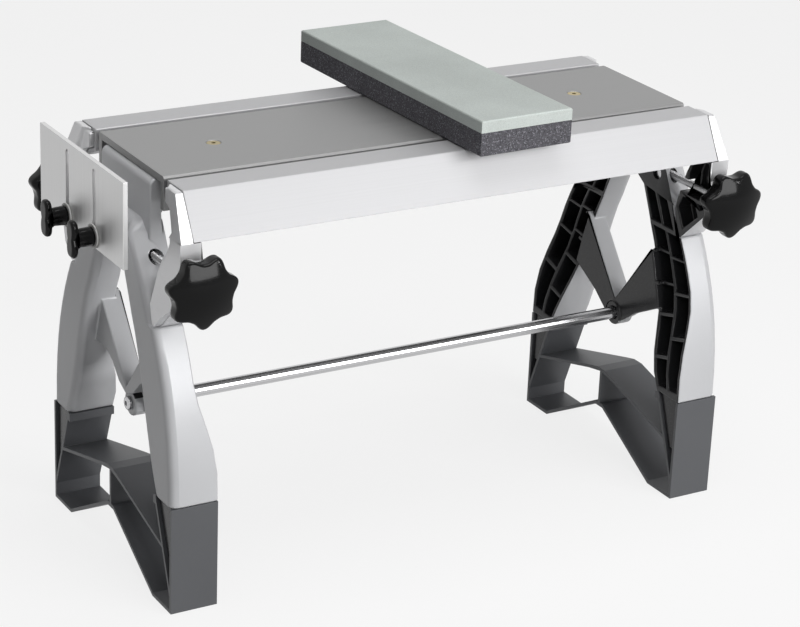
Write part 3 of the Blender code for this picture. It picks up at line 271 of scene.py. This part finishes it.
def away_from(spindles):
    # Picks edges that don't lie beside a spindle's hole
    axes = [sum(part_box(name), Vector()) / 2 for name in spindles]

    def picked(edge):
        middle = sum((corner.co for corner in edge.verts), Vector()) / 2
        return min(math.hypot(middle.x - axis.x, middle.z - axis.z) for axis in axes) > HOLE_SURROUND

    return picked


def has_room(edge):
    # Picks edges whose neighbours are long enough for the round to end on them
    return min(beside.calc_length() for corner in edge.verts for beside in corner.link_edges) > ROUND_ROOM


def weigh_edges(bm, picked):
    # The picked sharp edges take the round, and the others stay sharp
    weight = bm.edges.layers.float.new("bevel_weight_edge")
    for edge in bm.edges:
        edge[weight] = float(edge.calc_face_angle() > EDGE_ANGLE and picked(edge))


def put(name, bm, looks, node_name, edge=None):
    # Hands a new mesh over as a piece that stands for a CAD node and rides on its body
    mesh = bpy.data.meshes.new(name)
    bm.to_mesh(mesh)
    bm.free()
    for look in looks:
        mesh.materials.append(LOOKS[look])
    mesh.shade_smooth()
    mesh.set_sharp_from_angle(angle=SMOOTH_ANGLE)
    piece = bpy.data.objects.new(name, mesh)
    bpy.context.scene.collection.objects.link(piece)
    if edge:
        soften(piece, edge, True)
    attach(piece, nodes[node_name]["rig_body"])
    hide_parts(node_name)


def copied(node_name):
    # The node's mesh with its seams welded and its flat faces made whole
    bm = bmesh.new()
    bm.from_mesh(nodes[node_name].data)
    bmesh.ops.remove_doubles(bm, verts=bm.verts, dist=WELD)
    bmesh.ops.dissolve_limit(bm, angle_limit=FLAT_ANGLE, verts=bm.verts, edges=bm.edges)
    bmesh.ops.recalc_face_normals(bm, faces=bm.faces)
    return bm


# Frames and arms are moulded black and painted silver outside: ribs, pockets and inner sides stay black
SPRAY_REACH = 0.2
SPRAY_LIFT = 0.0001
INNER_FACING = 0.35
OUTER_FACING = 0.5


def paint_outside(bm, end_sign, black_below):
    # A face is painted if the spray from the outer side reaches most of it
    tree = BVHTree.FromBMesh(bm)
    outward = Vector((end_sign, 0, 0))
    reached = {face: 0.0 for face in bm.faces}
    for loops in bm.calc_loop_triangles():
        face = loops[0].face
        a, b, c = (loop.vert.co for loop in loops)
        spot = (a + b + c) / 3 + face.normal * SPRAY_LIFT
        if tree.ray_cast(spot, (face.normal + outward).normalized(), SPRAY_REACH)[0] is None:
            reached[face] += (b - a).cross(c - a).length / 2
    for face in bm.faces:
        outward_share = end_sign * face.normal.x
        hidden = outward_share < -INNER_FACING or face.calc_center_median().z < black_below
        shaded = outward_share < OUTER_FACING and reached[face] < face.calc_area() / 2
        face.material_index = int(hidden or shaded)


def make_mouldings():
    foot_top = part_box("left_foot")[1].z
    for end, end_sign in ENDS:
        bm = copied(f"{end}_frame")
        paint_outside(bm, end_sign, foot_top)
        weigh_edges(bm, away_from([f"{side}_{end}_spindle" for side, _ in SIDES]))
        put(f"{end}_frame_moulding", bm, ("silver", "black"), f"{end}_frame", MOULDING_ROUND)
    for corner, _, end_sign in CORNERS:
        bm = copied(f"{corner}_arm")
        paint_outside(bm, end_sign, 0)
        weigh_edges(bm, has_room)
        put(f"{corner}_arm_moulding", bm, ("arm", "black"), f"{corner}_arm", MOULDING_ROUND)


def loft(rings):
    # A closed skin over rings of points, with a face at both ends
    bm = bmesh.new()
    loops = [[bm.verts.new(point) for point in ring] for ring in rings]
    count = len(loops[0])
    for low, high in zip(loops, loops[1:]):
        for i in range(count):
            j = (i + 1) % count
            bm.faces.new((low[i], low[j], high[j], high[i]))
    bm.faces.new(loops[0])
    bm.faces.new(loops[-1])
    bmesh.ops.recalc_face_normals(bm, faces=bm.faces)
    return bm


# Star knobs: seven rounded lobes, a rolled back edge, and flutes that cut into the domed front
KNOB_LOBES = 7
KNOB_STEPS = 18
KNOB_LOBE_DEPTH = 0.0045
KNOB_LOBE_SHARPNESS = 1.5
KNOB_BOSS_LENGTH = 0.0045
KNOB_BOSS_RADIUS = 0.011
KNOB_NOSE_RADIUS = 0.0065
KNOB_BORE_RADIUS = 0.0033
KNOB_INSERT_DEPTH = 0.011
KNOB_EDGE = 0.004
KNOB_BORDER = 0.0030
KNOB_DOME = 0.0060
KNOB_ROLL_STEPS = 6
KNOB_DOME_STEPS = 12


def knob_profile(reach, radius, depth):
    # From the bore over the rolled back edge and the side to the top of the dome, as (along, out) pairs
    def dome(out):
        return depth - KNOB_DOME * (out / radius) ** 2

    profile = [(KNOB_INSERT_DEPTH, KNOB_BORE_RADIUS), (0, KNOB_BORE_RADIUS), (0, KNOB_NOSE_RADIUS),
               (KNOB_BOSS_LENGTH, KNOB_BOSS_RADIUS)]
    for k in range(KNOB_ROLL_STEPS + 1):
        turn = math.pi / 2 * k / KNOB_ROLL_STEPS
        along = KNOB_BOSS_LENGTH + KNOB_EDGE * (1 - math.cos(turn))
        profile.append((along, reach - KNOB_EDGE * (1 - math.sin(turn))))
    last_turn = math.pi / 2 - math.atan(2 * KNOB_DOME * reach / radius ** 2)
    border = reach - KNOB_BORDER * (1 - math.cos(last_turn))
    start = dome(border) - KNOB_BORDER * math.sin(last_turn)
    for k in range(KNOB_ROLL_STEPS + 1):
        turn = last_turn * k / KNOB_ROLL_STEPS
        profile.append((start + KNOB_BORDER * math.sin(turn), reach - KNOB_BORDER * (1 - math.cos(turn))))
    for k in range(1, KNOB_DOME_STEPS):
        out = border * (1 - k / KNOB_DOME_STEPS)
        profile.append((dome(out), out))
    return profile


def make_knob(corner, side_sign):
    low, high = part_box(f"{corner}_knob")
    radius = (high.x - low.x) / 2 / math.cos(math.pi / (2 * KNOB_LOBES))
    axis_x = (low.x + high.x) / 2
    axis_z = low.z + radius
    back = low.y if side_sign > 0 else high.y
    count = KNOB_LOBES * KNOB_STEPS
    columns = []
    for i in range(count):
        angle = math.tau * i / count
        wave = (1 + math.cos(KNOB_LOBES * angle)) / 2
        reach = radius - KNOB_LOBE_DEPTH * (1 - wave ** KNOB_LOBE_SHARPNESS)
        columns.append([(axis_x + out * math.sin(angle), back + side_sign * along,
                         axis_z - out * math.cos(angle))
                        for along, out in knob_profile(reach, radius, high.y - low.y)])
    put(f"{corner}_star_knob", loft(list(zip(*columns))), ("knob",), f"{corner}_knob")


# Thumb screws at the end stop: a round hub with a collar and a two-lobed grip
THUMB_STEPS = 64
THUMB_WAIST = 0.40
THUMB_LOBE_POWER = 0.62
THUMB_HUB_RADIUS = 0.0068
THUMB_HUB_LENGTH = 0.0112
THUMB_COLLAR = 0.0010
THUMB_BORE = 0.0026
THUMB_INSERT = 0.007
THUMB_EDGE = 0.0020
THUMB_ROLL_STEPS = 5


def make_thumb_knob(side):
    low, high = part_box(f"{side}_thumb_knob")
    centre = (low + high) / 2
    depth = high.x - low.x
    half_width = (high.y - low.y) / 2
    half_length = (high.z - low.z) / 2

    def ring(along, reach_y, reach_z, waist):
        points = []
        for i in range(THUMB_STEPS):
            angle = math.tau * i / THUMB_STEPS
            c = math.cos(angle)
            s = math.sin(angle)
            if waist:
                c = math.copysign(abs(c) ** THUMB_LOBE_POWER, c) * (1 - waist * (1 - abs(s)) ** 2)
            points.append((high.x - along, centre.y + reach_y * c, centre.z + reach_z * s))
        return points

    def hub(along, reach):
        return ring(along, reach, reach, 0)

    collar = THUMB_HUB_LENGTH - THUMB_COLLAR
    foot_radius = THUMB_HUB_RADIUS - THUMB_COLLAR / 4
    waist_radius = THUMB_HUB_RADIUS - THUMB_COLLAR / 2
    collar_radius = THUMB_HUB_RADIUS + THUMB_COLLAR / 4
    rings = [hub(THUMB_INSERT, THUMB_BORE), hub(0, THUMB_BORE), hub(0, foot_radius),
             hub(THUMB_COLLAR / 2, THUMB_HUB_RADIUS), hub(collar - THUMB_COLLAR, waist_radius),
             hub(collar, waist_radius), hub(collar, collar_radius), hub(THUMB_HUB_LENGTH, collar_radius)]
    for k in range(THUMB_ROLL_STEPS + 1):
        turn = math.pi / 2 * k / THUMB_ROLL_STEPS
        inset = THUMB_EDGE * (1 - math.sin(turn))
        rings.append(ring(THUMB_HUB_LENGTH + THUMB_EDGE * (1 - math.cos(turn)), half_width - inset,
                          half_length - inset, THUMB_WAIST))
    for k in range(THUMB_ROLL_STEPS + 1):
        turn = math.pi / 2 * k / THUMB_ROLL_STEPS
        inset = THUMB_EDGE * (1 - math.cos(turn))
        rings.append(ring(depth - THUMB_EDGE * (1 - math.sin(turn)), half_width - inset, half_length - inset,
                          THUMB_WAIST))
    for k in range(1, THUMB_ROLL_STEPS):
        share = 1 - k / THUMB_ROLL_STEPS
        rings.append(ring(depth, (half_width - THUMB_EDGE) * share, (half_length - THUMB_EDGE) * share,
                          THUMB_WAIST))
    put(f"{side}_thumb_grip", loft(rings), ("knob",), f"{side}_thumb_knob")


# Screws with a six-sided socket: countersunk in the plate, button-headed on the rod
HEX_STEPS = 8
SOCKET_DEPTH_SHARE = 0.9
SOCKET_TIP_DEPTH_SHARE = 1.1
SOCKET_TIP_SHARE = 0.1
SCREW_EDGE = 0.0002
PLATE_SCREW_CONE = 0.0028
PLATE_SCREW_SHANK = 0.0025
PLATE_SCREW_TIP = 0.0019
PLATE_SCREW_TIP_LENGTH = 0.0006
PLATE_SCREW_SOCKET = 0.0017
ROD_SCREW_HEAD = 0.003
ROD_SCREW_RIM = 0.0012
ROD_SCREW_CROWN = 0.0004
ROD_SCREW_CROWN_SHARE = 0.9
ROD_SCREW_FACE_SHARE = 0.72
ROD_SCREW_SHANK = 0.0026
ROD_SCREW_TIP = 0.0021
ROD_SCREW_TIP_LENGTH = 0.0005
ROD_SCREW_SOCKET = 0.0020


def make_socket_screw(name, node_name, axis, outward, head, shank, socket, look):
    # head and shank hold (place along the axis, radius) pairs from the tip to the head's face
    low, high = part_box(node_name)
    centre = (low + high) / 2
    count = 6 * HEX_STEPS

    def ring(along, reach, six_sided):
        points = []
        for i in range(count):
            angle = math.tau * i / count
            r = reach
            if six_sided:
                local = (angle % (math.tau / 6)) - math.pi / 6
                r = reach * math.cos(math.pi / 6) / math.cos(local)
            a = r * math.cos(angle)
            b = r * math.sin(angle)
            if axis == "z":
                points.append((centre.x + a, centre.y + b, along))
            else:
                points.append((along, centre.y + a, centre.z + b))
        return points

    rings = [ring(along, radius, False) for along, radius in shank + head]
    face = head[-1][0]
    rings += [ring(face, socket, True), ring(face - outward * socket * SOCKET_DEPTH_SHARE, socket, True),
              ring(face - outward * socket * SOCKET_TIP_DEPTH_SHARE, socket * SOCKET_TIP_SHARE, False)]
    put(name, loft(rings), (look,), node_name)


def make_plate_screw(end):
    low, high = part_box(f"{end}_plate_screw")
    head_radius = (high.x - low.x) / 2
    shank = [(low.z, PLATE_SCREW_TIP), (low.z + PLATE_SCREW_TIP_LENGTH, PLATE_SCREW_SHANK)]
    head = [(high.z - PLATE_SCREW_CONE, PLATE_SCREW_SHANK), (high.z - SCREW_EDGE, head_radius),
            (high.z, head_radius - SCREW_EDGE)]
    make_socket_screw(f"{end}_plate_screw_detail", f"{end}_plate_screw", "z", 1, head, shank,
                      PLATE_SCREW_SOCKET, "zinc")


def make_rod_screw(end, end_sign):
    low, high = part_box(f"{end}_rod_screw")
    head_radius = (high.y - low.y) / 2
    face = high.x if end_sign > 0 else low.x
    tip = low.x if end_sign > 0 else high.x
    seat = face - end_sign * ROD_SCREW_HEAD
    shank = [(tip, ROD_SCREW_TIP), (tip + end_sign * ROD_SCREW_TIP_LENGTH, ROD_SCREW_SHANK)]
    head = [(seat, ROD_SCREW_SHANK), (seat, head_radius - SCREW_EDGE),
            (seat + end_sign * SCREW_EDGE, head_radius), (face - end_sign * ROD_SCREW_RIM, head_radius),
            (face - end_sign * ROD_SCREW_CROWN, head_radius * ROD_SCREW_CROWN_SHARE),
            (face, head_radius * ROD_SCREW_FACE_SHARE)]
    make_socket_screw(f"{end}_rod_screw_detail", f"{end}_rod_screw", "x", end_sign, head, shank,
                      ROD_SCREW_SOCKET, "steel")


def dress_plain_nodes():
    dress("top_plate", "plate", FINE_EDGE_ROUND)
    dress("stop_plate", "stop", FINE_EDGE_ROUND)
    dress("stretcher_rod", "steel", FINE_EDGE_ROUND)
    dress("stone_fine_layer", "fine", FINE_EDGE_ROUND)
    dress("stone_coarse_layer", "coarse", FINE_EDGE_ROUND)
    for end, _ in ENDS:
        dress(f"{end}_foot", "foot")
    for side, _ in SIDES:
        dress(f"{side}_rail", "rail")
        dress(f"{side}_standoff", "steel", FINE_EDGE_ROUND)
        dress(f"{side}_thumb_washer", "nylon", FINE_EDGE_ROUND)
        dress(f"{side}_thumb_stud", "thread_x", FINE_EDGE_ROUND)
    for corner, _, _ in CORNERS:
        dress(f"{corner}_spindle", "thread_y", FINE_EDGE_ROUND)
        dress(f"{corner}_clamp_nut", "steel", FINE_EDGE_ROUND)


# Floor, light and camera

def area_light(name, place, target, size, energy):
    data = bpy.data.lights.new(name, "AREA")
    data.shape = "RECTANGLE"
    data.size, data.size_y = size
    data.energy = energy
    light = bpy.data.objects.new(name, data)
    bpy.context.scene.collection.objects.link(light)
    light.location = place
    light.rotation_mode = "QUATERNION"
    light.rotation_quaternion = (Vector(target) - Vector(place)).to_track_quat("-Z", "Y")


FLOOR_SIZE = 6.0
FLOOR_DROP = 0.0002
FLOOR_ROUGHNESS = 0.9
FLOOR_SPECULAR = 0.1
FLOOR_CLOUDS = (3, 3, 3)
FLOOR_CLOUD_SPREAD = 0.02
FLOOR_GLOW = 0.82
FLOOR_TONE = 0.8
FLOOR_BOUNCE = 0.32
WORLD_LIGHT = 0.07
WORLD_SEEN = 0.84


def seen_directly(tree):
    # 1 for rays from the camera, from a reflection or through a clear body, 0 for the light on the object
    path = tree.nodes.new("ShaderNodeLightPath").outputs
    mirrored = add_sum(tree, "MAXIMUM", path["Is Glossy Ray"], path["Is Transmission Ray"])
    return add_sum(tree, "MAXIMUM", path["Is Camera Ray"], mirrored)


def make_floor():
    bm = bmesh.new()
    bmesh.ops.create_grid(bm, x_segments=1, y_segments=1, size=FLOOR_SIZE)
    mesh = bpy.data.meshes.new("studio_floor")
    bm.to_mesh(mesh)
    bm.free()
    look, tree, shader = new_look("floor_pale", FLOOR_ROUGHNESS, specular=FLOOR_SPECULAR)
    seen = seen_directly(tree)
    noise = stretched_noise(tree, FLOOR_CLOUDS)
    clouds = between(tree, noise, 1 - FLOOR_CLOUD_SPREAD, 1 + FLOOR_CLOUD_SPREAD)
    tone = add_sum(tree, "MULTIPLY", clouds, between(tree, seen, FLOOR_BOUNCE, FLOOR_TONE, 0.0, 1.0))
    tree.links.new(tone, shader.inputs["Base Color"])
    glow = add_node(tree, "ShaderNodeEmission", Color=(1, 1, 1, 1), Strength=1.0)
    mixed = add_node(tree, "ShaderNodeMixShader", Fac=add_sum(tree, "MULTIPLY", seen, FLOOR_GLOW))
    tree.links.new(shader.outputs["BSDF"], mixed.inputs[1])
    tree.links.new(glow.outputs["Emission"], mixed.inputs[2])
    tree.links.new(mixed.outputs["Shader"], tree.nodes["Material Output"].inputs["Surface"])
    mesh.materials.append(look)
    floor = bpy.data.objects.new("studio_floor", mesh)
    bpy.context.scene.collection.objects.link(floor)
    floor.location.z = -FLOOR_DROP


def make_world():
    world = bpy.data.worlds.new("studio")
    bpy.context.scene.world = world
    world.use_nodes = True
    tree = world.node_tree
    background = tree.nodes["Background"]
    background.inputs["Color"].default_value = (1, 1, 1, 1)
    strength = between(tree, seen_directly(tree), WORLD_LIGHT, WORLD_SEEN, 0.0, 1.0)
    tree.links.new(strength, background.inputs["Strength"])


LIGHT_TARGET = (0, 0, 0.18)


def make_lights():
    area_light("key_near", (0.6, -2.2, 0.85), LIGHT_TARGET, (1.7, 1.1), 42)
    area_light("top_soft", (0.0, -0.2, 2.2), LIGHT_TARGET, (1.6, 1.2), 19)
    area_light("strip_left", (-0.8, -1.6, 1.4), LIGHT_TARGET, (0.7, 0.03), 3)
    area_light("strip_right", (1.3, -1.5, 1.0), LIGHT_TARGET, (0.03, 0.7), 3)
    area_light("back_panel", (1.5, 2.6, 1.3), LIGHT_TARGET, (3.0, 2.0), 4)


CAMERA_TURN = math.radians(-30.69)
CAMERA_RISE = math.radians(21.92)
CAMERA_ROLL = math.radians(2.36)
CAMERA_DISTANCE = 1.85863
CAMERA_TARGET = (0.018385, -0.015047, 0.1469)
CAMERA_LENS = 113.79
CAMERA_SENSOR = 36


def make_camera():
    level_share = math.cos(CAMERA_RISE)
    back = Vector((math.sin(CAMERA_TURN) * level_share, -math.cos(CAMERA_TURN) * level_share,
                   math.sin(CAMERA_RISE)))
    level = Vector((0, 0, 1)).cross(back).normalized()
    upright = back.cross(level)
    right = level * math.cos(CAMERA_ROLL) + upright * math.sin(CAMERA_ROLL)
    up = upright * math.cos(CAMERA_ROLL) - level * math.sin(CAMERA_ROLL)
    data = bpy.data.cameras.new("photo_camera")
    data.sensor_width = CAMERA_SENSOR
    data.lens = CAMERA_LENS
    camera = bpy.data.objects.new("photo_camera", data)
    bpy.context.scene.collection.objects.link(camera)
    turn = Matrix((right, up, back)).transposed().to_4x4()
    camera.matrix_world = Matrix.Translation(Vector(CAMERA_TARGET) + back * CAMERA_DISTANCE) @ turn
    bpy.context.scene.camera = camera
    bpy.context.scene.view_settings.view_transform = "Standard"


make_camera()
dress_plain_nodes()
make_mouldings()
for corner_name, corner_side, _ in CORNERS:
    make_knob(corner_name, corner_side)
for side_name, _ in SIDES:
    make_thumb_knob(side_name)
for end_name, end_side in ENDS:
    make_plate_screw(end_name)
    make_rod_screw(end_name, end_side)
make_floor()
make_world()
make_lights()
